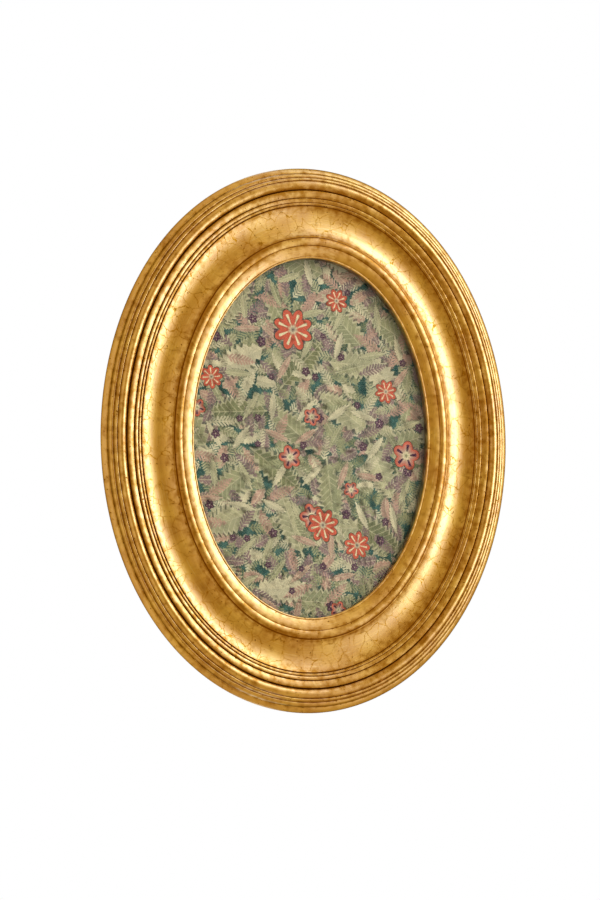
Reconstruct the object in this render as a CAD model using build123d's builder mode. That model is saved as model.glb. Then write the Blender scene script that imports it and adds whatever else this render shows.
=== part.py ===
from build123d import *
from math import cos, hypot, radians, sin
import os

# Oval gilded wood picture frame that hangs on a wall, in millimetres.
# The origin is where the wall hook carries the raised hanger ring, on the wall's face.
# The wall is the plane y = 0, the picture faces -Y, and +Z is up.

# Sight opening: the oval through which the picture is seen
sight_half_width = 59.0
sight_half_height = 84.0
sight_lip_depth = 3.5

# Moulding, from the sight edge outwards. Heights are above the sight edge, towards the viewer.
# Each member runs to its foot, through its crest or its deepest point at half its width.
lip_bead_width = 0.9
lip_bead_crest = 0.5
lip_bead_foot = 0.3
sight_band_width = 5.0
sight_band_crest = 1.35
sight_band_foot = 1.5
inner_bead_width = 3.9
inner_bead_crest = 2.2
inner_bead_foot = 1.3
inner_fillet_width = 0.8
inner_fillet_middle = 1.05
inner_fillet_foot = 1.0
cove_width = 14.4
cove_depth = -1.5
cove_foot = 0.6
cove_bead_width = 1.3
cove_bead_crest = 0.85
cove_bead_foot = 0.2
first_bead_width = 2.1
first_bead_crest = 0.8
first_bead_foot = 0.1
second_bead_width = 3.6
second_bead_crest = 1.4
second_bead_foot = 0.6
torus_width = 4.8
torus_crest = 2.8
torus_foot = 1.0
third_bead_width = 1.8
third_bead_crest = 1.4
third_bead_foot = 0.3
fourth_bead_width = 2.2
fourth_bead_crest = 0.5
fourth_bead_foot = -0.8
edge_bead_width = 2.6
edge_bead_middle = -2.2
edge_bead_foot = -4.6
edge_bead_return = 0.9
side_undercut = 5.1

# Picture pack, in the rebate behind the sight lip
rebate_width = 5.5
panel_gap = 1.0
glass_thickness = 2.0
print_thickness = 0.4
card_thickness = 1.6
filler_thickness = 3.5
board_thickness = 3.0
board_chamfer = 0.5

# Dowels that hold the four lengths of moulding together, two at each joint
dowel_radius = 2.5
dowel_half_length = 12.0
dowel_depth = 8.6
dowel_chamfer = 0.6
dowel_glue_gap = 0.05
inner_dowel_place = 14.0
outer_dowel_place = 30.0

# Wood screws
screw_shank_radius = 1.3
screw_tip_length = 3.0
screw_tip_radius = 0.15
screw_head_radius = 2.5
screw_head_height = 1.6
screw_head_edge = 0.7
screw_slot_width = 0.6
screw_slot_depth = 0.7
screw_wood_gap = 0.05
screw_hole_depth = 8.0

# Turn buttons that keep the back board in
button_count = 6
button_thickness = 1.2
button_head_radius = 4.2
button_tip_radius = 2.7
button_arm = 12.5
button_edge = 0.3
button_pivot_setback = 7.5
button_seat_gap = 0.2
button_bore_gap = 0.08

# Strap hanger and its ring
strap_width = 8.0
strap_thickness = 0.8
strap_length = 17.0
strap_corner = 3.0
strap_hole_gap = 0.1
first_screw_drop = 4.6
second_screw_drop = 12.6
ring_wire_radius = 0.8
ring_half_width = 6.0
ring_corner = 1.8
ring_leg = 0.6
ring_bore_gap = 0.1
ring_height_over_rebate = 19.5

# Felt bumpers that keep the lower edge off the wall
bumper_radius = 5.0
bumper_thickness = 3.5
bumper_edge = 0.6
bumper_place = 24.0
bumper_angles = (218.0, 322.0)

# How far a cut runs past the piece it cuts
overrun = 1.0

# Degrees between the points of the flat panels' edges
rim_step = 10

# Sizes that follow from the ones above
rebate_depth = (
    glass_thickness + print_thickness + card_thickness + filler_thickness + board_thickness
)
moulding_depth = sight_lip_depth + rebate_depth
members = (
    (lip_bead_width, lip_bead_crest, lip_bead_foot),
    (sight_band_width, sight_band_crest, sight_band_foot),
    (inner_bead_width, inner_bead_crest, inner_bead_foot),
    (inner_fillet_width, inner_fillet_middle, inner_fillet_foot),
    (cove_width, cove_depth, cove_foot),
    (cove_bead_width, cove_bead_crest, cove_bead_foot),
    (first_bead_width, first_bead_crest, first_bead_foot),
    (second_bead_width, second_bead_crest, second_bead_foot),
    (torus_width, torus_crest, torus_foot),
    (third_bead_width, third_bead_crest, third_bead_foot),
    (fourth_bead_width, fourth_bead_crest, fourth_bead_foot),
)
edge_bead_start = sum(width for width, crest, foot in members)
moulding_width = edge_bead_start + edge_bead_width
panel_spread = rebate_width - panel_gap
button_place = rebate_width + button_pivot_setback
barrel_bore_radius = ring_wire_radius + ring_bore_gap
barrel_radius = barrel_bore_radius + strap_thickness
ring_inner_height = ring_corner + ring_leg + ring_half_width - ring_wire_radius

# The sight opening's centre, seen from the origin
ring_bar_z = -ring_inner_height
centre_z = ring_bar_z - ring_height_over_rebate - rebate_width - sight_half_height
back_y = -bumper_thickness
sight_y = back_y - moulding_depth
face = Plane(origin=(0, sight_y, centre_z), x_dir=(1, 0, 0), z_dir=(0, -1, 0))
back = Plane(origin=(0, back_y, centre_z), x_dir=(1, 0, 0), z_dir=(0, 1, 0))


def outward(angle):
    """Unit vector square to the sight oval at this angle of the ellipse's formula."""
    across = sight_half_height * cos(radians(angle))
    up = sight_half_width * sin(radians(angle))
    return Vector(across / hypot(across, up), 0, up / hypot(across, up))


def on_oval(angle, distance):
    """The point this far outside the sight oval, square to it, from the oval's centre."""
    across = sight_half_width * cos(radians(angle)) + distance * outward(angle).X
    up = sight_half_height * sin(radians(angle)) + distance * outward(angle).Z
    return across, up


def place_on(plane, angle, distance):
    """The same point, in the plane that the front or the back lies in."""
    across, up = on_oval(angle, distance)
    return Vector(across, plane.origin.Y, centre_z + up)


def section_plane(angle):
    """The moulding's section: x runs outwards, y towards the viewer."""
    viewer = Vector(0, -1, 0)
    across = outward(angle)
    return Plane(origin=place_on(face, angle, 0), x_dir=across, z_dir=across.cross(viewer))


def draw_section():
    """The moulding's section, with its rebate, from the sight edge round to the lip's back."""
    with BuildLine() as outline:
        reach = 0
        height = 0
        for width, crest, foot in members:
            ThreePointArc((reach, height), (reach + width / 2, crest), (reach + width, foot))
            reach = reach + width
            height = foot
        edge_foot = (moulding_width - edge_bead_return, edge_bead_foot)
        ThreePointArc((reach, height), (moulding_width, edge_bead_middle), edge_foot)
        Polyline(
            edge_foot,
            (moulding_width - side_undercut, -moulding_depth),
            (rebate_width, -moulding_depth),
            (rebate_width, -sight_lip_depth),
            (0, -sight_lip_depth),
            (0, 0),
        )
    make_face(outline.edges())


def draw_oval(spread):
    """The sight oval, with its edge moved outwards by the spread."""
    with BuildLine() as rim:
        Spline([on_oval(angle, spread) for angle in range(0, 360, rim_step)], periodic=True)
    make_face(rim.edges())


def screw_plane(point):
    """The plane through a screw's axis: x runs across the screw, y out of the wood."""
    return Plane(origin=point, x_dir=(1, 0, 0), z_dir=(0, 0, 1))


def draw_screw(seat):
    """Half a screw's outline. Its head sits this far above the wood's back."""
    with BuildLine() as outline:
        Polyline(
            (0, -screw_hole_depth),
            (screw_tip_radius, -screw_hole_depth),
            (screw_shank_radius, screw_tip_length - screw_hole_depth),
            (screw_shank_radius, seat),
            (screw_head_radius, seat),
            (screw_head_radius, seat + screw_head_edge),
        )
        head_top = seat + screw_head_height
        dome = (screw_head_height - screw_head_edge) / 4
        ThreePointArc(
            (screw_head_radius, seat + screw_head_edge),
            (screw_head_radius / 2, head_top - dome),
            (0, head_top),
        )
        Line((0, head_top), (0, -screw_hole_depth))
    make_face(outline.edges())


# Where the turn buttons, their screws, the strap's screws and the joints lie
button_angles = [turn * 360 / button_count for turn in range(button_count)]
button_pivots = [place_on(back, angle, button_place) for angle in button_angles]
strap_screw_points = [
    Vector(0, back_y, ring_bar_z - drop) for drop in (first_screw_drop, second_screw_drop)
]
joint_angles = (45, 135, 225, 315)
dowel_places = (inner_dowel_place, outer_dowel_place)

os.makedirs("parts", exist_ok=True)

# Four lengths of moulding, glued end to end
for name, start_angle in zip(("right", "top", "left", "bottom"), (-45, 45, 135, 225)):
    with BuildPart() as moulding:
        with BuildLine(face) as run:
            EllipticalCenterArc(
                (0, 0), sight_half_width, sight_half_height, start_angle, arc_size=90
            )
        with BuildSketch(section_plane(start_angle)):
            draw_section()
        sweep(path=run.line)
        for angle in (start_angle, start_angle + 90):
            for distance in dowel_places:
                with BuildSketch(section_plane(angle)):
                    with Locations((distance, -dowel_depth)):
                        Circle(dowel_radius + dowel_glue_gap)
                extrude(
                    amount=dowel_half_length + dowel_glue_gap, both=True, mode=Mode.SUBTRACT
                )
        for point in button_pivots + strap_screw_points:
            with BuildSketch(Plane(origin=point, x_dir=(1, 0, 0), z_dir=(0, 1, 0))):
                Circle(screw_shank_radius + screw_wood_gap)
            extrude(amount=-screw_hole_depth - screw_wood_gap, mode=Mode.SUBTRACT)
    moulding.part.label = f"moulding_{name}"
    export_step(moulding.part, f"parts/moulding_{name}.step")

# Dowels across the joints
with BuildPart() as joint_dowels:
    for angle in joint_angles:
        for distance in dowel_places:
            with BuildSketch(section_plane(angle)):
                with Locations((distance, -dowel_depth)):
                    Circle(dowel_radius)
            extrude(amount=dowel_half_length, both=True)
    chamfer(joint_dowels.edges().filter_by(GeomType.CIRCLE), length=dowel_chamfer)
joint_dowels.part.label = "joint_dowels"
export_step(joint_dowels.part, "parts/joint_dowels.step")

# Glass
glass_front = -sight_lip_depth
with BuildPart() as glass_pane:
    with BuildSketch(face.offset(glass_front)):
        draw_oval(panel_spread)
    extrude(amount=-glass_thickness)
glass_pane.part.label = "glass_pane"
export_step(glass_pane.part, "parts/glass_pane.step")

# Printed picture
print_front = glass_front - glass_thickness
with BuildPart() as print_sheet:
    with BuildSketch(face.offset(print_front)):
        draw_oval(panel_spread)
    extrude(amount=-print_thickness)
print_sheet.part.label = "print_sheet"
export_step(print_sheet.part, "parts/print_sheet.step")

# Card that the picture is mounted on
card_front = print_front - print_thickness
with BuildPart() as mount_card:
    with BuildSketch(face.offset(card_front)):
        draw_oval(panel_spread)
    extrude(amount=-card_thickness)
mount_card.part.label = "mount_card"
export_step(mount_card.part, "parts/mount_card.step")

# Filler board that takes up the rest of the rebate
filler_front = card_front - card_thickness
with BuildPart() as filler_board:
    with BuildSketch(face.offset(filler_front)):
        draw_oval(panel_spread)
    extrude(amount=-filler_thickness)
filler_board.part.label = "filler_board"
export_step(filler_board.part, "parts/filler_board.step")

# Back board, flush with the moulding's back
board_front = filler_front - filler_thickness
with BuildPart() as back_board:
    with BuildSketch(face.offset(board_front)):
        draw_oval(panel_spread)
    extrude(amount=-board_thickness)
    chamfer(back_board.edges().group_by(Axis.Y)[-1], length=board_chamfer)
back_board.part.label = "back_board"
export_step(back_board.part, "parts/back_board.step")

# Turn buttons, each on its own screw
for number, angle in enumerate(button_angles):
    with BuildPart() as turn_button:
        pivot = button_pivots[number] + Vector(0, button_seat_gap, 0)
        with BuildSketch(Plane(origin=pivot, x_dir=-outward(angle), z_dir=(0, 1, 0))):
            Circle(button_head_radius)
            with Locations((button_arm, 0)):
                Circle(button_tip_radius)
            make_hull()
            Circle(screw_shank_radius + button_bore_gap, mode=Mode.SUBTRACT)
        extrude(amount=button_thickness)
        fillet(
            turn_button.faces().sort_by(Axis.Y)[-1].outer_wire().edges(), radius=button_edge
        )
    turn_button.part.label = f"turn_button_{number + 1}"
    export_step(turn_button.part, f"parts/turn_button_{number + 1}.step")

# Screws of the turn buttons
button_screw_seat = button_thickness + 2 * button_seat_gap
with BuildPart() as turn_button_screws:
    for angle, point in zip(button_angles, button_pivots):
        with BuildSketch(screw_plane(point)):
            draw_screw(button_screw_seat)
        revolve(axis=Axis(point, (0, 1, 0)))
        top = point + Vector(0, button_screw_seat + screw_head_height, 0)
        with BuildSketch(Plane(origin=top, x_dir=outward(angle), z_dir=(0, 1, 0))):
            Rectangle(2 * screw_head_radius + overrun, screw_slot_width)
        extrude(amount=-screw_slot_depth, mode=Mode.SUBTRACT)
turn_button_screws.part.label = "turn_button_screws"
export_step(turn_button_screws.part, "parts/turn_button_screws.step")

# Strap of the hanger: a plate with its upper end curled into a barrel round the ring's bar
barrel_y = back_y + barrel_radius
side_view = Plane(
    origin=(-strap_width / 2, barrel_y, ring_bar_z), x_dir=(0, 1, 0), z_dir=(1, 0, 0)
)
with BuildPart() as hanger_strap:
    with BuildSketch(side_view):
        Circle(barrel_radius)
    extrude(amount=strap_width)
    with BuildSketch(Plane(origin=(0, back_y, ring_bar_z), x_dir=(1, 0, 0), z_dir=(0, 1, 0))):
        with Locations((0, strap_length / 2)):
            Rectangle(strap_width, strap_length)
    extrude(amount=strap_thickness)
    fillet(hanger_strap.edges().filter_by(Axis.Y).group_by(Axis.Z)[0], radius=strap_corner)
    with BuildSketch(side_view):
        Circle(barrel_bore_radius)
    extrude(amount=strap_width, mode=Mode.SUBTRACT)
    for point in strap_screw_points:
        with BuildSketch(Plane(origin=point, x_dir=(1, 0, 0), z_dir=(0, 1, 0))):
            Circle(screw_shank_radius + strap_hole_gap)
        extrude(amount=strap_thickness, mode=Mode.SUBTRACT)
hanger_strap.part.label = "hanger_strap"
export_step(hanger_strap.part, "parts/hanger_strap.step")

# Screws of the strap
with BuildPart() as hanger_screws:
    for point in strap_screw_points:
        with BuildSketch(screw_plane(point)):
            draw_screw(strap_thickness)
        revolve(axis=Axis(point, (0, 1, 0)))
        top = point + Vector(0, strap_thickness + screw_head_height, 0)
        with BuildSketch(Plane(origin=top, x_dir=(1, 0, 1), z_dir=(0, 1, 0))):
            Rectangle(2 * screw_head_radius + overrun, screw_slot_width)
        extrude(amount=-screw_slot_depth, mode=Mode.SUBTRACT)
hanger_screws.part.label = "hanger_screws"
export_step(hanger_screws.part, "parts/hanger_screws.step")

# Ring of the hanger, raised as it hangs on the hook
ring_plane = Plane(origin=(0, barrel_y, ring_bar_z), x_dir=(1, 0, 0), z_dir=(0, -1, 0))
bar_end = ring_half_width - ring_corner
bow_z = ring_corner + ring_leg
with BuildPart() as hanger_ring:
    with BuildLine(ring_plane) as bend:
        Line((-bar_end, 0), (bar_end, 0))
        CenterArc((bar_end, ring_corner), ring_corner, -90, 90)
        Line((ring_half_width, ring_corner), (ring_half_width, bow_z))
        CenterArc((0, bow_z), ring_half_width, 0, 180)
        Line((-ring_half_width, bow_z), (-ring_half_width, ring_corner))
        CenterArc((-bar_end, ring_corner), ring_corner, 180, 90)
    with BuildSketch(Plane(origin=(-bar_end, barrel_y, ring_bar_z), z_dir=(1, 0, 0))):
        Circle(ring_wire_radius)
    sweep(path=bend.line)
hanger_ring.part.label = "hanger_ring"
export_step(hanger_ring.part, "parts/hanger_ring.step")

# Felt bumpers
with BuildPart() as wall_bumpers:
    for angle in bumper_angles:
        point = place_on(back, angle, bumper_place)
        with BuildSketch(Plane(origin=point, x_dir=(1, 0, 0), z_dir=(0, 1, 0))):
            Circle(bumper_radius)
        extrude(amount=bumper_thickness)
    fillet(
        wall_bumpers.edges().filter_by(GeomType.CIRCLE).group_by(Axis.Y)[-1], radius=bumper_edge
    )
wall_bumpers.part.label = "wall_bumpers"
export_step(wall_bumpers.part, "parts/wall_bumpers.step")
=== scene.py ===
"""The looks of an oval gilded picture frame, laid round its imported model.

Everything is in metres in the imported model's own frame: the wall is y = 0, the picture faces
-y, z is up, and the hook's point is the origin."""
import math

import bpy
import numpy as np
from mathutils import Matrix, Vector


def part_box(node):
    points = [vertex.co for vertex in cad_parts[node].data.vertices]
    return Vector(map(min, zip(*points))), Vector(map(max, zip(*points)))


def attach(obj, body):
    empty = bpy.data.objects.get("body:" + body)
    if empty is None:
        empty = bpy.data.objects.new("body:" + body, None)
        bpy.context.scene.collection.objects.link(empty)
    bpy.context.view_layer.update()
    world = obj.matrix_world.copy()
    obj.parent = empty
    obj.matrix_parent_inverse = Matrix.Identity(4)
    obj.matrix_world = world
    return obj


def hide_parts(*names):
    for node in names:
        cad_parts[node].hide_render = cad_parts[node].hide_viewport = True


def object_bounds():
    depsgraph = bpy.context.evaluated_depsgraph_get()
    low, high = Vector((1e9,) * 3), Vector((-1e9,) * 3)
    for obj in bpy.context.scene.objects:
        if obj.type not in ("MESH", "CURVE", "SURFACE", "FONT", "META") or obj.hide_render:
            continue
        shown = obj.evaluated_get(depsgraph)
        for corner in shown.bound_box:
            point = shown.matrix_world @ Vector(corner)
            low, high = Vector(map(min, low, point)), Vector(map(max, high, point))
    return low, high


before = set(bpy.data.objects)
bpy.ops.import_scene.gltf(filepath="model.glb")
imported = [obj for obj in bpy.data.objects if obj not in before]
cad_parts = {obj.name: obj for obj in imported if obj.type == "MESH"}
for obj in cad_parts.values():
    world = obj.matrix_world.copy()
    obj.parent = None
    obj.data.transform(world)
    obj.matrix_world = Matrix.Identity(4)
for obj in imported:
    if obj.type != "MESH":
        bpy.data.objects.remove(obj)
CAD_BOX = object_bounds()

MM = 0.001
SEED = 41

# The sight oval and the frame's planes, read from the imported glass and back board
PANEL_SPREAD = 4.5 * MM
LIP_DEPTH = 3.5 * MM
REBATE_WIDTH = 5.5 * MM
GLASS_LOW, GLASS_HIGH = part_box("glass_pane")
SIGHT_HALF_WIDTH = (GLASS_HIGH[0] - GLASS_LOW[0]) / 2 - PANEL_SPREAD
SIGHT_HALF_HEIGHT = (GLASS_HIGH[2] - GLASS_LOW[2]) / 2 - PANEL_SPREAD
SIGHT_Y = GLASS_LOW[1] - LIP_DEPTH
BACK_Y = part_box("back_board")[1][1]
CENTRE_Z = (GLASS_HIGH[2] + GLASS_LOW[2]) / 2
MIDDLE = Vector((0, SIGHT_Y, CENTRE_Z))

# The moulding's members from the sight edge outwards: width, height of the middle and of the
# outer foot over the sight edge, all in millimetres, the share of a round shoulder, and how
# much wax lies in the groove at the outer foot
MEMBERS = (
    (0.9, 0.5, 0.3, 1.0, 0.4),  # lip bead
    (5.0, 1.2, 1.5, 0.0, 0.7),  # sight band
    (3.9, 2.15, 1.3, 0.3, 1.0),  # inner bead
    (0.8, 1.05, 1.0, 0.0, 0.3),  # fillet
    (14.4, -1.4, 0.5, 0.1, 0.9),  # cove
    (0.2, 0.2, 0.1, 0.0, 0.5),  # quirk
    (1.2, 0.5, 0.6, 0.1, 0.3),  # cove bead
    (0.2, 0.4, 0.3, 0.0, 0.6),  # quirk
    (1.8, 0.85, 0.9, 0.1, 0.4),  # first bead
    (0.2, 0.7, 0.5, 0.0, 0.8),  # quirk
    (3.4, 1.35, 1.5, 0.1, 0.5),  # second bead
    (0.3, 1.2, 0.8, 0.0, 1.0),  # quirk
    (4.5, 2.6, 1.4, 0.2, 0.5),  # torus
    (1.8, 1.6, 0.4, 0.3, 0.4),  # third bead
    (2.2, 0.4, -0.8, 0.3, 0.4),  # fourth bead
    (2.6, -1.3, -2.4, 0.8, 0.0),  # edge bead, out to the frame's widest line
)

# The cove's place among the members, the distance over which its crackle fades out, and the
# reach of the wax and of the toning from a groove
COVE = 4
COVE_FADE = 1.5 * MM
WAX_REACH = 0.25 * MM
TONE_REACH = 2.3 * MM

# The section's side, back and sight lip, in millimetres: how far in and down the edge returns,
# how far in the side leans, the eased edges of the back and of the lip, and where the lip's
# face ends under the lip bead
EDGE_RETURNS = ((0.25, 1.0), (0.9, 2.2))
SIDE_UNDERCUT = 5.1
BACK_EDGE, BACK_EDGE_SHARE = 0.8, 0.3
LIP_EDGE_WIDTH, LIP_EDGE_HEIGHT = 0.25, 0.3
LIP_FACE_TOP = -0.4
MEMBER_STEP, MEMBER_LEAST_STEPS = 0.34, 7
BACK_STEP = 2.4

# The lengths' meshes: sections in each, the bend that shades as a sharp edge, the radius that
# the run's attribute is wound on, and how many of the section's points the unevenness fades
# over at the front's two edges, and are still gilded on the side and on the lip's face
LENGTH_TURNS = 150
CORNER_BEND = math.radians(50)
RUN_RADIUS = 0.1
FADE_POINTS = 5
GILDED_SIDE_POINTS = 6
GILDED_LIP_POINTS = 4

# The unevenness of hand work: its blur along and across in points, and its height in millimetres
HAND_WAVES = ((7, 14, 0.05), (22, 24, 0.05))

rng = np.random.default_rng(SEED)


def linear(hex_text):
    """The linear colour, with alpha, of an sRGB hex value."""
    channels = [int(hex_text[place:place + 2], 16) / 255 for place in (1, 3, 5)]
    bent = [c / 12.92 if c <= 0.04045 else ((c + 0.055) / 1.055) ** 2.4 for c in channels]
    return (*bent, 1.0)


def put_attribute(piece, name, kind, values):
    """Writes a named attribute on the piece's points, for its material to read."""
    attribute = piece.data.attributes.new(name, kind, "POINT")
    field = "vector" if kind == "FLOAT_VECTOR" else "value"
    attribute.data.foreach_set(field, np.ascontiguousarray(values, np.float32).ravel())


def new_piece(name, points, polygons, sizes, materials, slots=None):
    """A mesh object at the origin, from points and from polygons' corners end to end."""
    mesh = bpy.data.meshes.new(name)
    mesh.vertices.add(len(points))
    mesh.vertices.foreach_set("co", np.ascontiguousarray(points, np.float32).ravel())
    mesh.loops.add(len(polygons))
    mesh.loops.foreach_set("vertex_index", np.ascontiguousarray(polygons, np.int32))
    mesh.polygons.add(len(sizes))
    starts = np.concatenate([[0], np.cumsum(sizes)[:-1]]).astype(np.int32)
    mesh.polygons.foreach_set("loop_start", starts)
    for material in materials:
        mesh.materials.append(material)
    if slots is not None:
        mesh.polygons.foreach_set("material_index", slots.astype(np.int32))
    mesh.update(calc_edges=True)
    mesh.validate()
    piece = bpy.data.objects.new(name, mesh)
    bpy.context.scene.collection.objects.link(piece)
    return piece


def section_line():
    """The closed section, in metres: each point's distance from the sight edge and height,
    the number of its points in front, and each groove's distance with its share of wax.

    With t from -1 to 1 across a member, its height is the straight line between its feet plus
    its bulge times a mix of 1 - t^2, a shallow curve, and the root of 1 - t^2, a round one."""
    reach, foot = 0.0, 0.0
    line = [(reach, foot)]
    grooves = []
    for width, middle, next_foot, round_share, wax in MEMBERS:
        steps = max(MEMBER_LEAST_STEPS, int(width / MEMBER_STEP))
        t = -np.cos(np.linspace(0, np.pi, steps + 1))[1:]
        bulge = middle - (foot + next_foot) / 2
        arch = (1 - round_share) * (1 - t ** 2) + round_share * np.sqrt(1 - t ** 2)
        height = foot + (next_foot - foot) * (t + 1) / 2 + bulge * arch
        line += list(zip(reach + width * (t + 1) / 2, height))
        reach, foot = reach + width, next_foot
        grooves.append((reach * MM, wax))
    front_count = len(line)
    back = (SIGHT_Y - BACK_Y) / MM
    corners = [line[-1]]
    corners += [(reach - inset, foot - drop) for inset, drop in EDGE_RETURNS]
    corners += [
        (reach - SIDE_UNDERCUT + BACK_EDGE * BACK_EDGE_SHARE, back + BACK_EDGE),
        (reach - SIDE_UNDERCUT - BACK_EDGE, back),
        (REBATE_WIDTH / MM, back),
        (REBATE_WIDTH / MM, -LIP_DEPTH / MM),
        (LIP_EDGE_WIDTH, -LIP_DEPTH / MM),
        (0.0, -LIP_DEPTH / MM + LIP_EDGE_HEIGHT),
        (0.0, LIP_FACE_TOP),
    ]
    for low, high in zip(corners, corners[1:]):
        steps = max(1, int(math.dist(low, high) / BACK_STEP))
        share = np.linspace(0, 1, steps + 1)[1:, None]
        line += (np.array(low) + share * (np.array(high) - np.array(low))).tolist()
    return np.array(line) * MM, front_count, np.array(grooves)


def section_marks(line, front_count, grooves):
    """What the finish and the shading take from the section, a value for each of its points:
    the way along it, whether it turns a sharp corner, its wax and toning, and the cove.

    Wax is exp(-(distance / reach)^2) from a groove and toning exp(-distance / reach), times the
    groove's share, and the cove rises from 0 at its feet to 1 inside it."""
    distance = line[:, 0]
    ahead = np.roll(line, -1, axis=0) - line
    across = np.concatenate([[0], np.cumsum(np.hypot(ahead[:, 0], ahead[:, 1]))[:-1]])
    heading = np.arctan2(ahead[:, 1], ahead[:, 0])
    bend = np.abs((heading - np.roll(heading, 1) + np.pi) % (2 * np.pi) - np.pi)
    apart = np.abs(distance[:, None] - grooves[:, 0])
    groove = (np.exp(-((apart / WAX_REACH) ** 2)) * grooves[:, 1]).max(axis=1)
    toned = (np.exp(-apart / TONE_REACH) * grooves[:, 1]).max(axis=1)
    cove_start, cove_end = grooves[COVE - 1:COVE + 1, 0]
    cove = np.clip(np.minimum(distance - cove_start, cove_end - distance) / COVE_FADE, 0, 1)
    groove[front_count:] = 0
    cove[front_count:] = 0
    return across, bend > CORNER_BEND, groove, toned, cove


def hand_waves(turns, count):
    """Smooth uneven height, periodic along the run: random values blurred by a bell curve."""
    field = np.zeros((turns, count))
    for along, across, size in HAND_WAVES:
        fade = np.exp(-2 * (np.pi * np.fft.fftfreq(turns)[:, None] * along) ** 2)
        fade = fade * np.exp(-2 * (np.pi * np.fft.fftfreq(count)[None, :] * across) ** 2)
        blurred = np.fft.ifft2(np.fft.fft2(rng.standard_normal((turns, count))) * fade).real
        field += blurred / blurred.std() * size * MM
    return field


def oval_points(distance, height, angle):
    """The section carried round the sight oval, square to it.

    P = (a cos t, b sin t) + distance * (b cos t, a sin t) / |(b cos t, a sin t)|, where a and b
    are the half width and half height, and y is the sight plane less the height."""
    cos, sin = np.cos(angle)[:, None], np.sin(angle)[:, None]
    size = np.hypot(SIGHT_HALF_HEIGHT * cos, SIGHT_HALF_WIDTH * sin)
    x = SIGHT_HALF_WIDTH * cos + distance * SIGHT_HALF_HEIGHT * cos / size
    z = SIGHT_HALF_HEIGHT * sin + distance * SIGHT_HALF_WIDTH * sin / size
    return np.stack([x, np.broadcast_to(SIGHT_Y - height, x.shape), CENTRE_Z + z], axis=-1)


def length_faces(count, front_count):
    """One length's faces: a quad between each two points of each two sections, and the two
    ends. It gives their corners end to end, their sizes, and which of them are bare wood."""
    start = np.arange(LENGTH_TURNS)[:, None] * count
    point = np.arange(count)
    after = (point + 1) % count
    quads = np.stack(
        [start + point, start + after, start + count + after, start + count + point], axis=-1
    )
    last = LENGTH_TURNS * count
    corners = np.concatenate([quads.ravel(), point[::-1], last + point])
    sizes = np.concatenate([np.full(last, 4), [count, count]])
    behind = (point >= front_count + GILDED_SIDE_POINTS) & (point < count - GILDED_LIP_POINTS)
    return corners, sizes, np.concatenate([np.tile(behind, LENGTH_TURNS), [True, True]])


def make_moulding(gilding, softwood):
    """The four glued lengths, one mesh each, whose shared section runs on from joint to joint.

    Each point also carries what its finish reads: its place along the run, wound on a circle,
    and across the section, the section's marks, the way of the grain, and the number of
    sections between it and the nearest joint."""
    line, front_count, grooves = section_line()
    across, corner, groove, toned, cove = section_marks(line, front_count, grooves)
    count = len(line)
    turns = 4 * LENGTH_TURNS
    angle = np.linspace(0, 2 * np.pi, turns, endpoint=False) + np.pi / 4
    point = np.arange(count)
    fade = np.clip((front_count - point) / FADE_POINTS, 0, 1) * np.clip(point / FADE_POINTS, 0, 1)
    points = oval_points(line[:, 0], line[:, 1], angle)
    points[..., 1] -= hand_waves(turns, count) * fade

    flat = np.ones((turns, count))
    wound = [RUN_RADIUS * np.cos(angle)[:, None] * flat, RUN_RADIUS * np.sin(angle)[:, None] * flat]
    run = np.stack([*wound, across * flat], axis=-1)
    corners, sizes, bare = length_faces(count, front_count)
    for number, side in enumerate(("top", "left", "bottom", "right")):
        rows = np.arange(number * LENGTH_TURNS, (number + 1) * LENGTH_TURNS + 1) % turns
        piece = new_piece(
            "gilded_length_" + side, points[rows].reshape(-1, 3), corners, sizes,
            [gilding, softwood], bare,
        )
        grain = points[rows] if side in ("top", "bottom") else points[rows][..., [2, 1, 0]]
        from_start = np.arange(LENGTH_TURNS + 1)[:, None]
        from_joint = np.minimum(from_start, LENGTH_TURNS - from_start)
        put_attribute(piece, "run", "FLOAT_VECTOR", run[rows])
        put_attribute(piece, "groove", "FLOAT", (groove * flat)[rows])
        put_attribute(piece, "toned", "FLOAT", (toned * flat)[rows])
        put_attribute(piece, "cove", "FLOAT", (cove * flat)[rows])
        put_attribute(piece, "grain", "FLOAT_VECTOR", grain)
        put_attribute(piece, "from_joint", "FLOAT", from_joint * flat[rows])
        piece.data.polygons.foreach_set("use_smooth", sizes == 4)
        ends = np.empty(2 * len(piece.data.edges), np.int32)
        piece.data.edges.foreach_get("vertices", ends)
        first, second = (ends.reshape(-1, 2) % count).T
        piece.data.edges.foreach_set("use_edge_sharp", corner[first] & (first == second))
        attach(piece, "frame")
        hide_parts("moulding_" + side)


def new_material(name):
    """An empty material with its tree and its output's surface input."""
    material = bpy.data.materials.new(name)
    material.use_nodes = True
    material.node_tree.nodes.clear()
    output = material.node_tree.nodes.new("ShaderNodeOutputMaterial")
    return material, material.node_tree, output.inputs["Surface"]


def add(tree, kind, inputs=None, out=0, stops=(), stepped=False, to=None, **settings):
    """Adds a node with its settings, its inputs as values or links, and its ramp's stops.

    It gives the output that out names or numbers, linked to the socket to where one is given."""
    made = tree.nodes.new("ShaderNode" + kind)
    for name, value in settings.items():
        setattr(made, name, value)
    for name, value in (inputs or {}).items():
        if isinstance(value, bpy.types.NodeSocket):
            tree.links.new(value, made.inputs[name])
        else:
            made.inputs[name].default_value = value
    for number, (place, shade) in enumerate(stops):
        elements = made.color_ramp.elements
        if number > 1:
            elements.new(place)
        colour = linear(shade) if isinstance(shade, str) else (shade, shade, shade, 1)
        elements[number].position = place
        elements[number].color = colour
    if stepped:
        made.color_ramp.interpolation = "CONSTANT"
    if to is not None:
        tree.links.new(made.outputs[out], to)
    return made.outputs[out]


def per(sizes):
    """The scale of a pattern along each axis, from its real sizes in metres."""
    return [1 / size for size in sizes]


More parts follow.
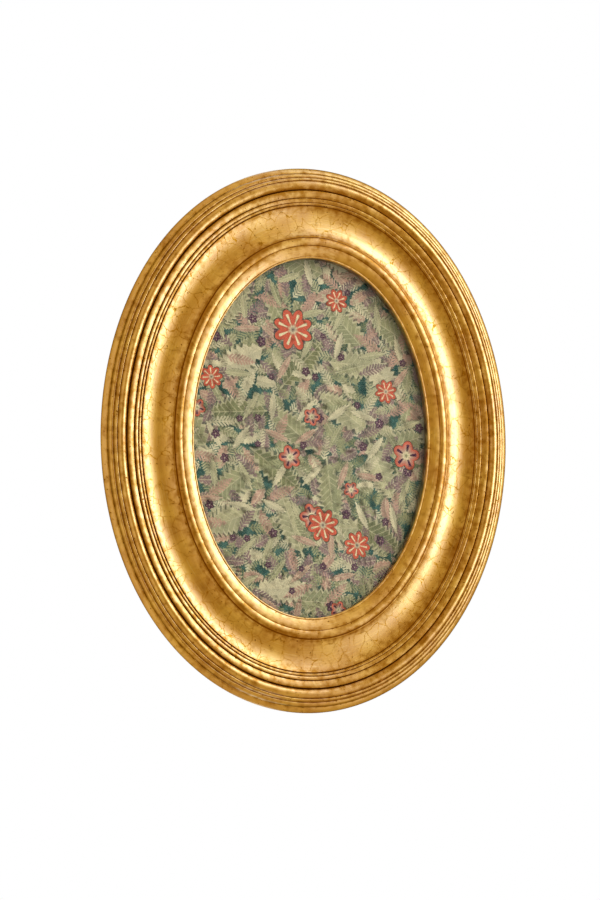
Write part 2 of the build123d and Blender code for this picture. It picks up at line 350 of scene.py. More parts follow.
# The gilding's colours
LEAF_DEEP, LEAF, LEAF_PALE, LEAF_POLISHED = "#C89224", "#D6A432", "#E2B84C", "#E9CB80"
BOLE, GLAZE, WAX, CRACK, PIT = "#A46C14", "#946010", "#7A490C", "#7A4C10", "#6A400C"

# The sizes of the gilding's patterns. The streaks and the crackle's cells have theirs along the
# run twice, since it is wound on a circle, and then across it
LEAF_CLOUD = 12 * MM
STREAK = (14 * MM, 14 * MM, 0.8 * MM)
GLAZE_PATCH = 3 * MM
CRACKLE_CELL = (6 * MM, 6 * MM, 8 * MM)
CRACKLE_WAVE, CRACKLE_BEND = 4 * MM, 3 * MM
CRACKLE_PATCH = 9 * MM
PIT_SPACING = 1.1 * MM
WAX_RAG = 2.5 * MM
HAZE_CLOUD = 5 * MM
GESSO_GRAIN = 2.2 * MM
GESSO_RELIEF = 0.06 * MM


def gilding_finish():
    """Gold leaf on red bole and gesso, laid by hand, burnished, toned with wax and varnished.

    The eye gets a satin metal with pale highlights, worn in streaks along the run, with brown
    wax in each groove and toning round it, a fine crackle across the cove, and dark pits."""
    material, tree, surface = new_material("antiqued_gold_leaf")
    run = add(tree, "Attribute", out="Vector", attribute_name="run")
    groove = add(tree, "Attribute", out="Fac", attribute_name="groove")
    toned = add(tree, "Attribute", out="Fac", attribute_name="toned")
    cove = add(tree, "Attribute", out="Fac", attribute_name="cove")
    place = add(tree, "TexCoord", out="Object")

    # The leaf's own tone changes in clouds
    clouds = add(tree, "TexNoise", {"Vector": place, "Scale": 1 / LEAF_CLOUD, "Detail": 4.0})
    tone = add(
        tree, "ValToRGB", {"Fac": clouds},
        stops=((0.34, LEAF_DEEP), (0.5, LEAF), (0.66, LEAF_PALE)),
    )

    # Wear: long thin streaks, dark where it reaches the bole, pale where it only polishes the leaf
    long_run = add(tree, "Mapping", {"Vector": run, "Scale": per(STREAK)})
    streaks = add(
        tree, "TexNoise", {"Vector": long_run, "Scale": 1.0, "Detail": 4.0, "Roughness": 0.6}
    )
    bole = add(tree, "ValToRGB", {"Fac": streaks}, stops=((0.56, 0.0), (0.78, 0.6)))
    tone = add(tree, "Mix", {0: bole, 6: tone, 7: linear(BOLE)}, out=2, data_type="RGBA")
    polish = add(tree, "ValToRGB", {"Fac": streaks}, stops=((0.3, 0.5), (0.45, 0.0)))
    tone = add(
        tree, "Mix", {0: polish, 6: tone, 7: linear(LEAF_POLISHED)}, out=2, data_type="RGBA"
    )

    # Toning: a thin brown glaze in patches, thick near the grooves
    patch = add(tree, "TexNoise", {"Vector": place, "Scale": 1 / GLAZE_PATCH, "Detail": 4.0})
    glaze = add(tree, "Math", {0: toned, 1: 0.5, 2: patch}, operation="MULTIPLY_ADD")
    glaze = add(tree, "ValToRGB", {"Fac": glaze}, stops=((0.58, 0.0), (0.92, 0.8)))
    tone = add(tree, "Mix", {0: glaze, 6: tone, 7: linear(GLAZE)}, out=2, data_type="RGBA")

    # Crackle: cells with crooked sides, in patches of the cove
    crooked = add(
        tree, "TexNoise", {"Vector": run, "Scale": 1 / CRACKLE_WAVE, "Detail": 3.0}, out="Color"
    )
    bent = add(
        tree, "VectorMath", {0: crooked, 1: (CRACKLE_BEND, CRACKLE_BEND, CRACKLE_BEND), 2: run},
        operation="MULTIPLY_ADD",
    )
    wide_cells = add(tree, "Mapping", {"Vector": bent, "Scale": per(CRACKLE_CELL)})
    edge = add(
        tree, "TexVoronoi", {"Vector": wide_cells, "Scale": 1.0}, out="Distance",
        feature="DISTANCE_TO_EDGE",
    )
    crack = add(tree, "ValToRGB", {"Fac": edge}, stops=((0.0, 0.7), (0.026, 0.0)))
    patches = add(tree, "TexNoise", {"Vector": place, "Scale": 1 / CRACKLE_PATCH, "Detail": 2.0})
    where = add(tree, "ValToRGB", {"Fac": patches}, stops=((0.36, 0.0), (0.54, 1.0)))
    where = add(tree, "Math", {0: where, 1: cove}, operation="MULTIPLY")
    crack = add(tree, "Math", {0: crack, 1: where}, operation="MULTIPLY")

    # Pits of up to 0.6 mm where the leaf has lifted, more of them near the grooves
    grit = add(tree, "TexNoise", {"Vector": place, "Scale": 1 / PIT_SPACING, "Detail": 1.0})
    grit = add(tree, "Math", {0: toned, 1: 0.03, 2: grit}, operation="MULTIPLY_ADD")
    speck = add(tree, "ValToRGB", {"Fac": grit}, stops=((0.71, 0.0), (0.76, 0.8)))

    # Brown wax lies in the grooves with a ragged edge
    ragged = add(tree, "TexNoise", {"Vector": place, "Scale": 1 / WAX_RAG, "Detail": 3.0})
    ragged = add(tree, "Math", {0: ragged, 1: 0.7, 2: groove}, operation="MULTIPLY_ADD")
    wax = add(tree, "ValToRGB", {"Fac": ragged}, stops=((0.62, 0.0), (1.05, 0.92)))
    for share, colour in ((wax, WAX), (crack, CRACK), (speck, PIT)):
        tone = add(tree, "Mix", {0: share, 6: tone, 7: linear(colour)}, out=2, data_type="RGBA")

    # What is dark is wax or bole, rough and with no varnish left on it
    bare = add(tree, "Math", {0: crack, 1: speck}, operation="MAXIMUM")
    bare = add(tree, "Math", {0: bare, 1: wax}, operation="MAXIMUM")
    worn = add(tree, "Math", {0: glaze, 1: 0.25}, operation="MULTIPLY")
    worn = add(tree, "Math", {0: worn, 1: bare}, operation="MAXIMUM")
    varnish = add(
        tree, "MapRange", {"Value": worn, "From Max": 0.22, "To Min": 1.0, "To Max": 0.0}
    )
    haze = add(tree, "TexNoise", {"Vector": place, "Scale": 1 / HAZE_CLOUD, "Detail": 4.0})
    dull = add(tree, "Math", {0: bare, 1: 0.2, 2: 0.26}, operation="MULTIPLY_ADD")
    dull = add(tree, "Math", {0: haze, 1: 0.12, 2: dull}, operation="MULTIPLY_ADD")

    # Brushed gesso under the leaf, with each crack a small step down. The brush's own marks are
    # finer than a pixel, so they are drawn as coarse as they need to show
    gesso = add(tree, "TexNoise", {"Vector": place, "Scale": 1 / GESSO_GRAIN, "Detail": 1.0})
    relief = add(tree, "Math", {0: streaks, 1: 0.1, 2: gesso}, operation="MULTIPLY_ADD")
    relief = add(tree, "Math", {0: crack, 1: -0.6, 2: relief}, operation="MULTIPLY_ADD")
    bump = add(tree, "Bump", {"Strength": 0.35, "Distance": GESSO_RELIEF, "Height": relief})

    # The varnish's IOR is higher than a real one's, so that pale highlights show over the gold
    add(
        tree, "BsdfPrincipled",
        {"Base Color": tone, "Metallic": 1.0, "Roughness": dull, "Normal": bump,
         "Coat Weight": varnish, "Coat Roughness": 0.2, "Coat IOR": 2.4, "Coat Normal": bump},
        to=surface,
    )
    return material


# Pine's fibres and year rings, along the grain and twice across it
PINE_FIBRE = (30 * MM, 1.6 * MM, 1.6 * MM)
PINE_RING = (90 * MM, 6 * MM, 6 * MM)


def softwood_finish():
    """Planed pine, washed with thin size: pale and dark bands along it, and dark glue lines."""
    material, tree, surface = new_material("planed_pine")
    grain = add(tree, "Attribute", out="Vector", attribute_name="grain")
    from_joint = add(tree, "Attribute", out="Fac", attribute_name="from_joint")
    fibre_place = add(tree, "Mapping", {"Vector": grain, "Scale": per(PINE_FIBRE)})
    fibres = add(tree, "TexNoise", {"Vector": fibre_place, "Scale": 1.0, "Detail": 5.0})
    ring_place = add(tree, "Mapping", {"Vector": grain, "Scale": per(PINE_RING)})
    rings = add(tree, "TexNoise", {"Vector": ring_place, "Scale": 1.0, "Distortion": 0.8})
    tone = add(tree, "ValToRGB", {"Fac": fibres}, stops=((0.3, "#A9773F"), (0.7, "#D0A368")))
    late = add(tree, "ValToRGB", {"Fac": rings}, stops=((0.45, 0.0), (0.6, 0.55)))
    tone = add(tree, "Mix", {0: late, 6: tone, 7: linear("#8E5B2B")}, out=2, data_type="RGBA")
    glue = add(tree, "ValToRGB", {"Fac": from_joint}, stops=((0.15, 0.85), (0.45, 0.0)))
    tone = add(tree, "Mix", {0: glue, 6: tone, 7: linear("#3E2510")}, out=2, data_type="RGBA")
    bump = add(tree, "Bump", {"Strength": 0.4, "Distance": 0.15 * MM, "Height": fibres})
    add(tree, "BsdfPrincipled", {"Base Color": tone, "Roughness": 0.7, "Normal": bump}, to=surface)
    return material


def grained_finish(name, dark, pale, grain_mm, relief_mm, stretch=(1, 1, 1), **shader):
    """A finish whose colour runs from dark to pale with grain of one size, stretched one way.

    The real grain of all but the hardboard is finer than a pixel, so it is drawn coarser."""
    material, tree, surface = new_material(name)
    place = add(tree, "TexCoord", out="Object")
    laid = add(tree, "Mapping", {"Vector": place, "Scale": [s / (grain_mm * MM) for s in stretch]})
    grain = add(tree, "TexNoise", {"Vector": laid, "Scale": 1.0, "Detail": 4.0, "Roughness": 0.6})
    tone = add(tree, "ValToRGB", {"Fac": grain}, stops=((0.32, dark), (0.68, pale)))
    bump = add(tree, "Bump", {"Strength": 0.5, "Distance": relief_mm * MM, "Height": grain})
    add(tree, "BsdfPrincipled", {"Base Color": tone, "Normal": bump, **shader}, to=surface)
    return material


def glass_finish():
    """Drawn float glass: the light passes straight through and a little is mirrored, over waves
    60 mm apart.

    Its faces are flat, so they are shaded by their true normals. Only a face met from outside
    mirrors, since the inner side of its back lies in the same plane as the print. Its IOR is
    lower than a real pane's, because the photograph shows hardly a reflection."""
    material, tree, surface = new_material("float_glass")
    place = add(tree, "TexCoord", out="Object")
    draw = add(tree, "TexNoise", {"Vector": place, "Scale": 1 / (60 * MM), "Detail": 1.0})
    face = add(tree, "NewGeometry", out="True Normal")
    bump = add(
        tree, "Bump", {"Strength": 0.05, "Distance": 0.1 * MM, "Height": draw, "Normal": face}
    )
    share = add(tree, "Fresnel", {"IOR": 1.2, "Normal": bump})
    outside = add(tree, "Math", {0: 1.0, 1: face.node.outputs["Backfacing"]}, operation="SUBTRACT")
    share = add(tree, "Math", {0: share, 1: outside}, operation="MULTIPLY")
    clear = add(tree, "BsdfTransparent", {"Color": linear("#FBFDFB")})
    mirror = add(tree, "BsdfGlossy", {"Roughness": 0.03, "Normal": bump})
    add(tree, "MixShader", {0: share, 1: clear, 2: mirror}, to=surface)
    return material


# The print's colours, and the shades that a layer of leaves takes by its random draw
TEAL, PALE_TEAL, SAGE, PALE_SAGE = "#2C5350", "#547A70", "#A9A67E", "#C4BC94"
MOSS, STRAW, MAUVE, ROSE = "#8A8A62", "#DED0AC", "#9A7C7C", "#CFA390"
CORAL, CREAM, PLUM, INK = "#DC624A", "#F2E3B8", "#56304C", "#43564A"
GREENS = ((0.0, SAGE), (0.35, STRAW), (0.55, MOSS), (0.75, PALE_SAGE))
PALES = ((0.0, PALE_SAGE), (0.3, STRAW), (0.6, ROSE), (0.8, SAGE))
DUNS = ((0.0, MAUVE), (0.35, SAGE), (0.5, ROSE), (0.7, STRAW), (0.85, MAUVE))

# The print's leaves from the lowest layer up, in millimetres: the room for each, the layer's
# shift, half length, half width, the step from vein to vein, the shades, and whether they are
# fronds
LEAF_LAYERS = (
    (8, (3, 9), 6, 3.4, 1.4, GREENS, True),
    (9, (71, 33), 7, 3.2, 1.5, DUNS, False),
    (11, (139, 57), 8, 2.8, 1.5, PALES, True),
    (26, (17, 91), 17, 7.0, 2.8, GREENS, False),
    (15, (201, 119), 9, 3.0, 1.6, DUNS, True),
    (16, (53, 27), 8, 2.0, 1.5, PALES, False),
)

# The berries and two layers of flowers over them, in millimetres: the room for each, the layer's
# shift, the radius, the number of petals, the rings' colours, the rays' colour, and the share of
# the places that has one
FLOWER_LAYERS = (
    (11, (31, 47), 2.4, 5, ((0.0, CREAM), (0.25, PLUM), (0.9, PLUM)), MAUVE, 0.3),
    (29, (11, 83), 6.0, 5, ((0.0, MOSS), (0.2, CREAM), (0.5, ROSE), (0.95, CORAL)), PLUM, 0.45),
    (41, (97, 13), 8.5, 8, ((0.0, PLUM), (0.16, STRAW), (0.34, CORAL), (0.9, CORAL)), CREAM, 0.6),
)

# How far a motif strays in its room, a leaf's veins, saw edge, rib and lines, the rims round
# the motifs, the strength of a leaf's darker half, lines and rim, and a flower's petals, rays
# and what divides the size of the smallest flower and of the largest
LEAF_JITTER, FLOWER_JITTER = 0.55, 0.7
VEIN_SLANT, SAW_DEPTH, RIB_HALF_WIDTH = 0.8, 0.3, 0.2
VEIN_SHARE, FROND_GAP_SHARE, LEAF_LINE_START = 0.13, 0.34, 0.88
LEAF_RIM, FLOWER_RIM = 1.12, 1.06
HALF_STRENGTH, LINE_STRENGTH, RIM_STRENGTH = 0.16, 0.6, 0.65
PETAL_FOOT, PETAL_DEPTH = 0.66, 0.34
RAY_START, RAY_END, RAY_WAVE = 0.3, 0.78, 0.93
SMALLEST_FLOWER, LARGEST_FLOWER = 1.6, 0.85


def scatter(tree, sheet, cell, jitter, shift):
    """One motif's place to each cell of the sheet, with its own turn and its own draw.

    It gives the node that holds the point's two distances from the place, along and off the
    motif's own axis, the plain distance, and the node that holds the place's random numbers."""
    moved = add(tree, "VectorMath", {0: sheet, 1: (*shift, 0)}, operation="ADD")
    place = add(
        tree, "TexVoronoi", {"Vector": moved, "Scale": 1 / cell, "Randomness": jitter},
        out="Position", voronoi_dimensions="2D",
    )
    draw = add(tree, "SeparateColor", {"Color": place.node.outputs["Color"]}, out="Red")
    turn = add(tree, "Math", {0: draw, 1: math.tau}, operation="MULTIPLY")
    local = add(tree, "VectorMath", {0: moved, 1: place}, operation="SUBTRACT")
    turned = add(tree, "VectorRotate", {"Vector": local, "Angle": turn}, rotation_type="Z_AXIS")
    axes = add(tree, "SeparateXYZ", {"Vector": turned})
    length = add(tree, "VectorMath", {0: turned}, out="Value", operation="LENGTH")
    return axes.node, length, draw.node


def print_leaves(
    tree, below, sheet, cell, shift, half_length, half_width, vein_step, shades, fronds
):
    """A layer of leaves, or of fern fronds, over the colour below.

    With s = (along - slant * off) / vein step less its whole number, a point is in the leaf
    where off / half width + (along / half length)^2 + saw depth * s is under one, which leaves a
    saw edge with a pale line inside it and a dark rim round it. Veins lie where s is small, and
    a frond is cut there. One half of each leaf is a little darker."""
    axes, _, draw = scatter(tree, sheet, cell, LEAF_JITTER, shift)
    along = axes.outputs["X"]
    off = add(tree, "Math", {0: axes.outputs["Y"]}, operation="ABSOLUTE")
    squared = add(tree, "Math", {0: along, 1: along}, operation="MULTIPLY")
    slim = add(tree, "Math", {0: off, 1: 1 / half_width}, operation="MULTIPLY")
    reach = add(tree, "Math", {0: squared, 1: half_length ** -2, 2: slim}, operation="MULTIPLY_ADD")
    slant = add(tree, "Math", {0: off, 1: -VEIN_SLANT, 2: along}, operation="MULTIPLY_ADD")
    slant = add(tree, "Math", {0: slant, 1: 1 / vein_step}, operation="MULTIPLY")
    slant = add(tree, "Math", {0: slant}, operation="FRACT")
    reach = add(tree, "Math", {0: slant, 1: SAW_DEPTH, 2: reach}, operation="MULTIPLY_ADD")
    inside = add(tree, "Math", {0: reach, 1: 1.0}, operation="LESS_THAN")
    cut = FROND_GAP_SHARE if fronds else VEIN_SHARE
    vein = add(tree, "Math", {0: slant, 1: cut}, operation="LESS_THAN")
    rib = add(tree, "Math", {0: off, 1: RIB_HALF_WIDTH}, operation="LESS_THAN")
    tone = add(tree, "ValToRGB", {"Fac": draw.outputs["Green"]}, stops=shades, stepped=True)
    half = add(tree, "Math", {0: axes.outputs["Y"], 1: 0.0}, operation="GREATER_THAN")
    half = add(tree, "Math", {0: half, 1: HALF_STRENGTH}, operation="MULTIPLY")
    tone = add(tree, "Mix", {0: half, 6: tone, 7: linear(TEAL)}, out=2, data_type="RGBA")
    if fronds:
        shown = add(tree, "Math", {0: 1.0, 1: vein}, operation="SUBTRACT")
        shown = add(tree, "Math", {0: shown, 1: rib}, operation="MAXIMUM")
        inside = add(tree, "Math", {0: inside, 1: shown}, operation="MULTIPLY")
    else:
        edge = add(tree, "Math", {0: reach, 1: LEAF_LINE_START}, operation="GREATER_THAN")
        lines = add(tree, "Math", {0: vein, 1: rib}, operation="MAXIMUM")
        lines = add(tree, "Math", {0: lines, 1: edge}, operation="MAXIMUM")
        lines = add(tree, "Math", {0: lines, 1: LINE_STRENGTH}, operation="MULTIPLY")
        tone = add(tree, "Mix", {0: lines, 6: tone, 7: linear(STRAW)}, out=2, data_type="RGBA")
        rim = add(tree, "Math", {0: reach, 1: LEAF_RIM}, operation="LESS_THAN")
        rim = add(tree, "Math", {0: rim, 1: RIM_STRENGTH}, operation="MULTIPLY")
        below = add(tree, "Mix", {0: rim, 6: below, 7: linear(INK)}, out=2, data_type="RGBA")
    return add(tree, "Mix", {0: inside, 6: below, 7: tone}, out=2, data_type="RGBA")


def print_flowers(tree, below, sheet, cell, shift, radius, petals, rings, rays, present):
    """A layer of round-petalled flowers over the colour below, each at its own size.

    The outline is radius * (foot + depth * |cos(petals * angle / 2)|). The rings' colours lie at
    shares of it, each petal has a ray up its middle, and a dark rim lies round the flower."""
    axes, length, draw = scatter(tree, sheet, cell, FLOWER_JITTER, shift)
    size = add(
        tree, "MapRange",
        {"Value": draw.outputs["Green"], "To Min": SMALLEST_FLOWER, "To Max": LARGEST_FLOWER},
    )
    length = add(tree, "Math", {0: length, 1: size}, operation="MULTIPLY")
    angle = add(
        tree, "Math", {0: axes.outputs["Y"], 1: axes.outputs["X"]}, operation="ARCTAN2"
    )
    wave = add(tree, "Math", {0: angle, 1: petals / 2}, operation="MULTIPLY")
    wave = add(tree, "Math", {0: wave}, operation="COSINE")
    wave = add(tree, "Math", {0: wave}, operation="ABSOLUTE")
    outline = add(
        tree, "Math", {0: wave, 1: PETAL_DEPTH * radius, 2: PETAL_FOOT * radius},
        operation="MULTIPLY_ADD",
    )
    reach = add(tree, "Math", {0: length, 1: outline}, operation="DIVIDE")
    tone = add(tree, "ValToRGB", {"Fac": reach}, stops=rings)
    middle = add(tree, "Math", {0: wave, 1: RAY_WAVE}, operation="GREATER_THAN")
    short = add(tree, "Math", {0: reach, 1: RAY_END}, operation="LESS_THAN")
    long = add(tree, "Math", {0: reach, 1: RAY_START}, operation="GREATER_THAN")
    ray = add(tree, "Math", {0: middle, 1: short}, operation="MULTIPLY")
    ray = add(tree, "Math", {0: ray, 1: long}, operation="MULTIPLY")
    tone = add(tree, "Mix", {0: ray, 6: tone, 7: linear(rays)}, out=2, data_type="RGBA")
    shown = add(tree, "Math", {0: draw.outputs["Blue"], 1: present}, operation="LESS_THAN")
    inside = add(tree, "Math", {0: reach, 1: 1.0}, operation="LESS_THAN")
    inside = add(tree, "Math", {0: inside, 1: shown}, operation="MULTIPLY")
    rim = add(tree, "Math", {0: reach, 1: FLOWER_RIM}, operation="LESS_THAN")
    rim = add(tree, "Math", {0: rim, 1: shown}, operation="MULTIPLY")
    below = add(tree, "Mix", {0: rim, 6: below, 7: linear(INK)}, out=2, data_type="RGBA")
    return add(tree, "Mix", {0: inside, 6: below, 7: tone}, out=2, data_type="RGBA")


def print_finish():
    """Matt paper, printed in flat colours with plain leaves, fern fronds, flowers and berries.

    The eye gets a dense, fine, muted pattern with a few warm flowers. Its leaves are 12 to 34 mm
    long, its flowers about 7 to 20 mm across and its berries about 3 to 6 mm. The ground and the
    paper change in clouds of 6 mm."""
    material, tree, surface = new_material("printed_matt_paper")
    place = add(tree, "TexCoord", out="Object")
    axes = add(tree, "SeparateXYZ", {"Vector": place}).node
    flat = add(tree, "CombineXYZ", {"X": axes.outputs["X"], "Y": axes.outputs["Z"]})
    sheet = add(tree, "VectorMath", {0: flat, "Scale": 1 / MM}, operation="SCALE")
    worn = add(tree, "TexNoise", {"Vector": sheet, "Scale": 1 / 6, "Detail": 4.0})
    colour = add(tree, "ValToRGB", {"Fac": worn}, stops=((0.35, TEAL), (0.65, PALE_TEAL)))
    for layer in LEAF_LAYERS:
        colour = print_leaves(tree, colour, sheet, *layer)
    for layer in FLOWER_LAYERS:
        colour = print_flowers(tree, colour, sheet, *layer)
    face = add(tree, "NewGeometry", out="True Normal")
    bump = add(
        tree, "Bump", {"Strength": 0.1, "Distance": 0.05 * MM, "Height": worn, "Normal": face}
    )
    add(
        tree, "BsdfPrincipled", {"Base Color": colour, "Roughness": 0.8, "Normal": bump},
        to=surface,
    )
    return material


def dress_nodes():
    """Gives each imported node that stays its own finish. The turn buttons, the strap and the
    ring are the steel ones."""
    # Rolled steel, zinc plated: a cool grey satin with faint streaks
    steel = grained_finish(
        "zinc_plated_steel", "#8E908F", "#C6C8C6", 0.8, 0.02, (0.2, 1, 1),
        Metallic=1.0, Roughness=0.34,
    )
    # Turned brass: warm yellow with a soft gleam
    brass = grained_finish(
        "turned_brass", "#A87D33", "#D6AE5C", 0.6, 0.02, Metallic=1.0, Roughness=0.3
    )
    # Pressed hardboard: a smooth dark brown face with short fibres
    board = grained_finish("pressed_hardboard", "#5A3A21", "#7D5735", 0.7, 0.06, Roughness=0.55)
    # Rolled grey board: matt and warm grey with pale flecks
    card = grained_finish("grey_board", "#A79D89", "#C4BBA7", 0.9, 0.04, Roughness=0.9)
    # Turned beech: pale tan with long grain
    beech = grained_finish(
        "beech_dowel", "#A9804F", "#D2AB78", 0.5, 0.04, (1, 1, 0.2), Roughness=0.7
    )
    # Pressed wool felt: matt charcoal with a soft nap
    felt = grained_finish(
        "wool_felt", "#2C2A27", "#4A4742", 0.35, 0.25, Roughness=0.95, **{"Sheen Weight": 0.4}
    )
    finishes = {
        "glass_pane": glass_finish(), "print_sheet": print_finish(), "mount_card": card,
        "filler_board": card, "back_board": board, "joint_dowels": beech, "wall_bumpers": felt,
        "hanger_screws": brass, "turn_button_screws": brass,
    }
    for name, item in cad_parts.items():
        finish = finishes.get(name, steel)
        for slot in item.material_slots:
            slot.material = finish


# The photograph's view: angles in degrees, the image's scale, and where the middle lies in it
CAMERA_DISTANCE = 1.0
CAMERA_YAW = 23.3
CAMERA_PITCH = -8.0
CAMERA_ROLL = -2.0
PIXELS_PER_METRE = 2157
IMAGE_WIDTH, IMAGE_HEIGHT = 600, 900
MIDDLE_PIXEL = (313.5, 436.3)
SENSOR = 36.0

# The floor: its drop below the frame, its half side, the size of its faint clouds, and the
# distances from the origin between which what the camera sees of it goes to white, with the
# least share of white
FLOOR_DROP = 0.35
FLOOR_HALF = 6.0
FLOOR_CLOUD = 0.5
FLOOR_FADE_START, FLOOR_FADE_END = 0.8, 2.0
FLOOR_WHITE_LEAST = 0.92

# The soft light all round, and the strength that shows as white
SOFT_LIGHT, WHITE = 0.56, 1.0
PLAIN_WHITE = (1, 1, 1, 1)

# The key lamp's direction, in degrees
KEY_AZIMUTH, KEY_ELEVATION = 61, 20

# The tent: its radius, its two half angles and step in degrees, its gap over the floor, its
# least glow, its lighter places as rise, azimuth, reach, elevation and reach, and its hues
TENT_RADIUS = 0.7
TENT_HALF_TURN, TENT_HALF_RISE, TENT_STEP = 150, 84, 3
TENT_GAP = 0.02
TENT_LOW = 0.17
TENT_GLOWS = (
    (1.75, 54, 35, KEY_ELEVATION, 60),
    (0.75, -45, 34, 0, 60),
    (0.6, 0, 90, 80, 40),
    (0.5, 0, 90, -70, 35),
)
TENT_HUE_SHARE = 0.6
TENT_HUES = ((0.2, "#FFCF5A"), (0.45, "#FFDC8C"), (0.8, "#FFFDF8"))


def make_camera():
    """A camera to the frame's left and a little below its middle, with the middle held at
    its own pixel by a small shift."""
    yaw, pitch, roll = (math.radians(turn) for turn in (CAMERA_YAW, CAMERA_PITCH, CAMERA_ROLL))
    level = Vector((math.cos(yaw), -math.sin(yaw), 0))
    back = Vector((
        -math.sin(yaw) * math.cos(pitch), -math.cos(yaw) * math.cos(pitch), math.sin(pitch)
    ))
    upright = back.cross(level)
    right = level * math.cos(roll) - upright * math.sin(roll)
    up = level * math.sin(roll) + upright * math.cos(roll)
    data = bpy.data.cameras.new("camera")
    data.sensor_width = SENSOR
    data.lens = PIXELS_PER_METRE * CAMERA_DISTANCE / IMAGE_HEIGHT * SENSOR
    data.shift_x = (IMAGE_WIDTH / 2 - MIDDLE_PIXEL[0]) / IMAGE_HEIGHT
    data.shift_y = (MIDDLE_PIXEL[1] - IMAGE_HEIGHT / 2) / IMAGE_HEIGHT
    camera = bpy.data.objects.new("camera", data)
    turn = Matrix((right, up, back)).transposed().to_4x4()
    camera.matrix_world = Matrix.Translation(MIDDLE + back * CAMERA_DISTANCE) @ turn
    bpy.context.scene.collection.objects.link(camera)
    bpy.context.scene.camera = camera


def studio_place(azimuth, elevation, distance):
    """The place and turn of studio gear that looks at the frame's middle from a direction.

    Azimuth 0 is straight in front and 90 is the frame's right, as the viewer sees it."""
    turn, rise = math.radians(azimuth), math.radians(elevation)
    level = distance * math.cos(rise)
    offset = Vector((level * math.sin(turn), -level * math.cos(turn), distance * math.sin(rise)))
    return Matrix.Translation(MIDDLE + offset) @ offset.to_track_quat("Z", "Y").to_matrix().to_4x4()


def make_lamp(name, azimuth, elevation, distance, size, watts, colour, mirrored=True):
    """A soft lamp that looks at the frame's middle, which gloss may or may not mirror."""
    data = bpy.data.lights.new(name, "AREA")
    data.shape = "RECTANGLE"
    data.size, data.size_y = size
    data.energy = watts
    data.color = linear(colour)[:3]
    lamp = bpy.data.objects.new(name, data)
    lamp.matrix_world = studio_place(azimuth, elevation, distance)
    lamp.visible_glossy = mirrored
    bpy.context.scene.collection.objects.link(lamp)


def make_tent():
    """A warm cloth tent round the frame, open at the back, that only gloss sees, so that the
    gilding mirrors a dim room and the key lamp, and not a white one.

    It is a sphere in azimuth and elevation, flat just over the floor. Its glow is the least one
    plus, for each lighter place, rise * exp(-(azimuth share)^2 - (elevation share)^2)."""
    azimuth = np.radians(np.arange(-TENT_HALF_TURN, TENT_HALF_TURN + 1, TENT_STEP))
    elevation = np.radians(np.arange(-TENT_HALF_RISE, TENT_HALF_RISE + 1, TENT_STEP))
    across, up = np.meshgrid(azimuth, elevation, indexing="ij")
    points = TENT_RADIUS * np.stack(
        [np.cos(up) * np.sin(across), -np.cos(up) * np.cos(across), np.sin(up)], axis=-1
    ) + np.array(MIDDLE)
    points[..., 2] = np.maximum(points[..., 2], CAD_BOX[0][2] - FLOOR_DROP + TENT_GAP)
    glow = np.full(across.shape, TENT_LOW)
    for rise, turn, turn_reach, lift, lift_reach in TENT_GLOWS:
        turn_share = (np.degrees(across) - turn) / turn_reach
        lift_share = (np.degrees(up) - lift) / lift_reach
        glow += rise * np.exp(-turn_share ** 2 - lift_share ** 2)
    rows, columns = across.shape
    corner = (np.arange(rows - 1)[:, None] * columns + np.arange(columns - 1)).ravel()
    quads = np.stack([corner, corner + 1, corner + columns + 1, corner + columns], axis=-1)
    sizes = np.full(len(quads), 4)
    material, tree, surface = new_material("warm_tent_cloth")
    shade = add(tree, "Attribute", out="Fac", attribute_name="glow")
    share = add(tree, "Math", {0: shade, 1: TENT_HUE_SHARE}, operation="MULTIPLY")
    hue = add(tree, "ValToRGB", {"Fac": share}, stops=TENT_HUES)
    add(tree, "Emission", {"Color": hue, "Strength": shade}, to=surface)
    tent = new_piece("tent", points.reshape(-1, 3), quads.ravel(), sizes, [material])
    put_attribute(tent, "glow", "FLOAT", glow)
    tent.visible_camera = False
    tent.visible_shadow = False
    tent.visible_diffuse = False
    tent.visible_transmission = False


def background_share(tree):
    """One for the rays that are to see the background as white: the camera's, gloss's, glass's."""
    share = add(tree, "LightPath", out="Is Camera Ray")
    for ray in ("Is Glossy Ray", "Is Transmission Ray"):
        also = add(tree, "LightPath", out=ray)
        share = add(tree, "Math", {0: share, 1: also}, operation="MAXIMUM")
    return share


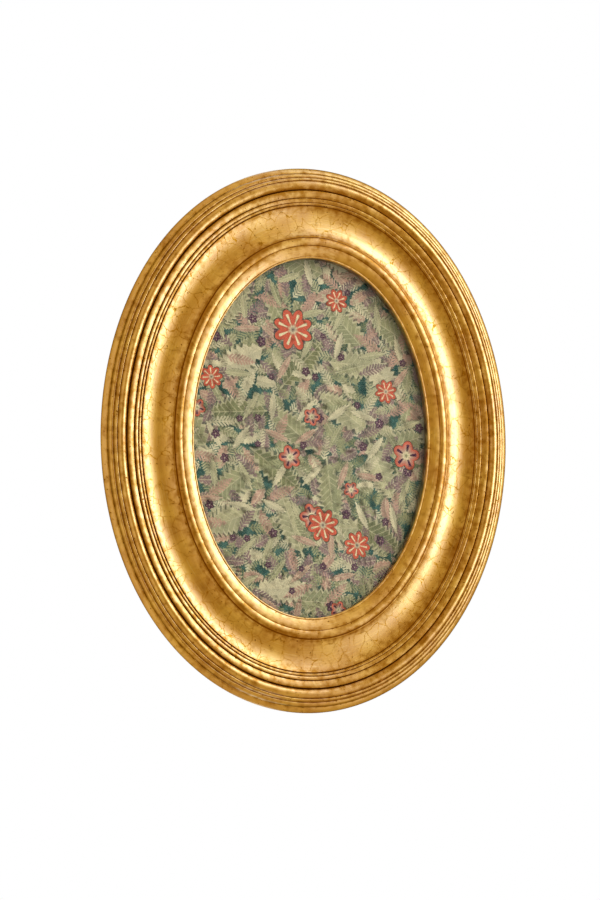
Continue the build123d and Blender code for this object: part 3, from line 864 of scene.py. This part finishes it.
def make_world():
    """Plain soft light all round, over a background that shows white."""
    world = bpy.data.worlds.new("studio")
    bpy.context.scene.world = world
    world.use_nodes = True
    tree = world.node_tree
    tree.nodes.clear()
    output = tree.nodes.new("ShaderNodeOutputWorld")
    soft = add(tree, "Background", {"Color": PLAIN_WHITE, "Strength": SOFT_LIGHT})
    white = add(tree, "Background", {"Color": PLAIN_WHITE, "Strength": WHITE})
    add(
        tree, "MixShader", {0: background_share(tree), 1: soft, 2: white},
        to=output.inputs["Surface"],
    )


def make_floor():
    """A pale studio floor below the hanging frame."""
    half = FLOOR_HALF
    low = CAD_BOX[0][2] - FLOOR_DROP
    points = np.array(
        [(-half, -half, low), (half, -half, low), (half, half, low), (-half, half, low)]
    )
    material, tree, surface = new_material("pale_studio_floor")
    place = add(tree, "TexCoord", out="Object")
    cloud = add(tree, "TexNoise", {"Vector": place, "Scale": 1 / FLOOR_CLOUD})
    tone = add(tree, "ValToRGB", {"Fac": cloud}, stops=((0.3, "#F8F8F6"), (0.7, "#FCFCFB")))
    paint = add(tree, "BsdfDiffuse", {"Color": tone})
    white = add(tree, "Emission", {"Color": PLAIN_WHITE, "Strength": WHITE})
    far = add(tree, "VectorMath", {0: place}, out="Value", operation="LENGTH")
    fade = add(
        tree, "MapRange",
        {"Value": far, "From Min": FLOOR_FADE_START, "From Max": FLOOR_FADE_END,
         "To Min": FLOOR_WHITE_LEAST},
    )
    share = add(tree, "Math", {0: background_share(tree), 1: fade}, operation="MULTIPLY")
    add(tree, "MixShader", {0: share, 1: paint, 2: white}, to=surface)
    new_piece("floor", points, np.arange(4), np.array([4]), [material])


make_moulding(gilding_finish(), softwood_finish())
dress_nodes()
make_camera()
make_world()
make_floor()
make_tent()
make_lamp(
    "key_lamp", KEY_AZIMUTH, KEY_ELEVATION, distance=0.6, size=(0.34, 0.76), watts=1.55,
    colour="#E8F1FF",
)
make_lamp(
    "fill_lamp", azimuth=20, elevation=30, distance=1.6, size=(0.9, 0.9), watts=18,
    colour="#FFF3EA", mirrored=False,
)

bpy.context.scene.view_settings.view_transform = "Standard"
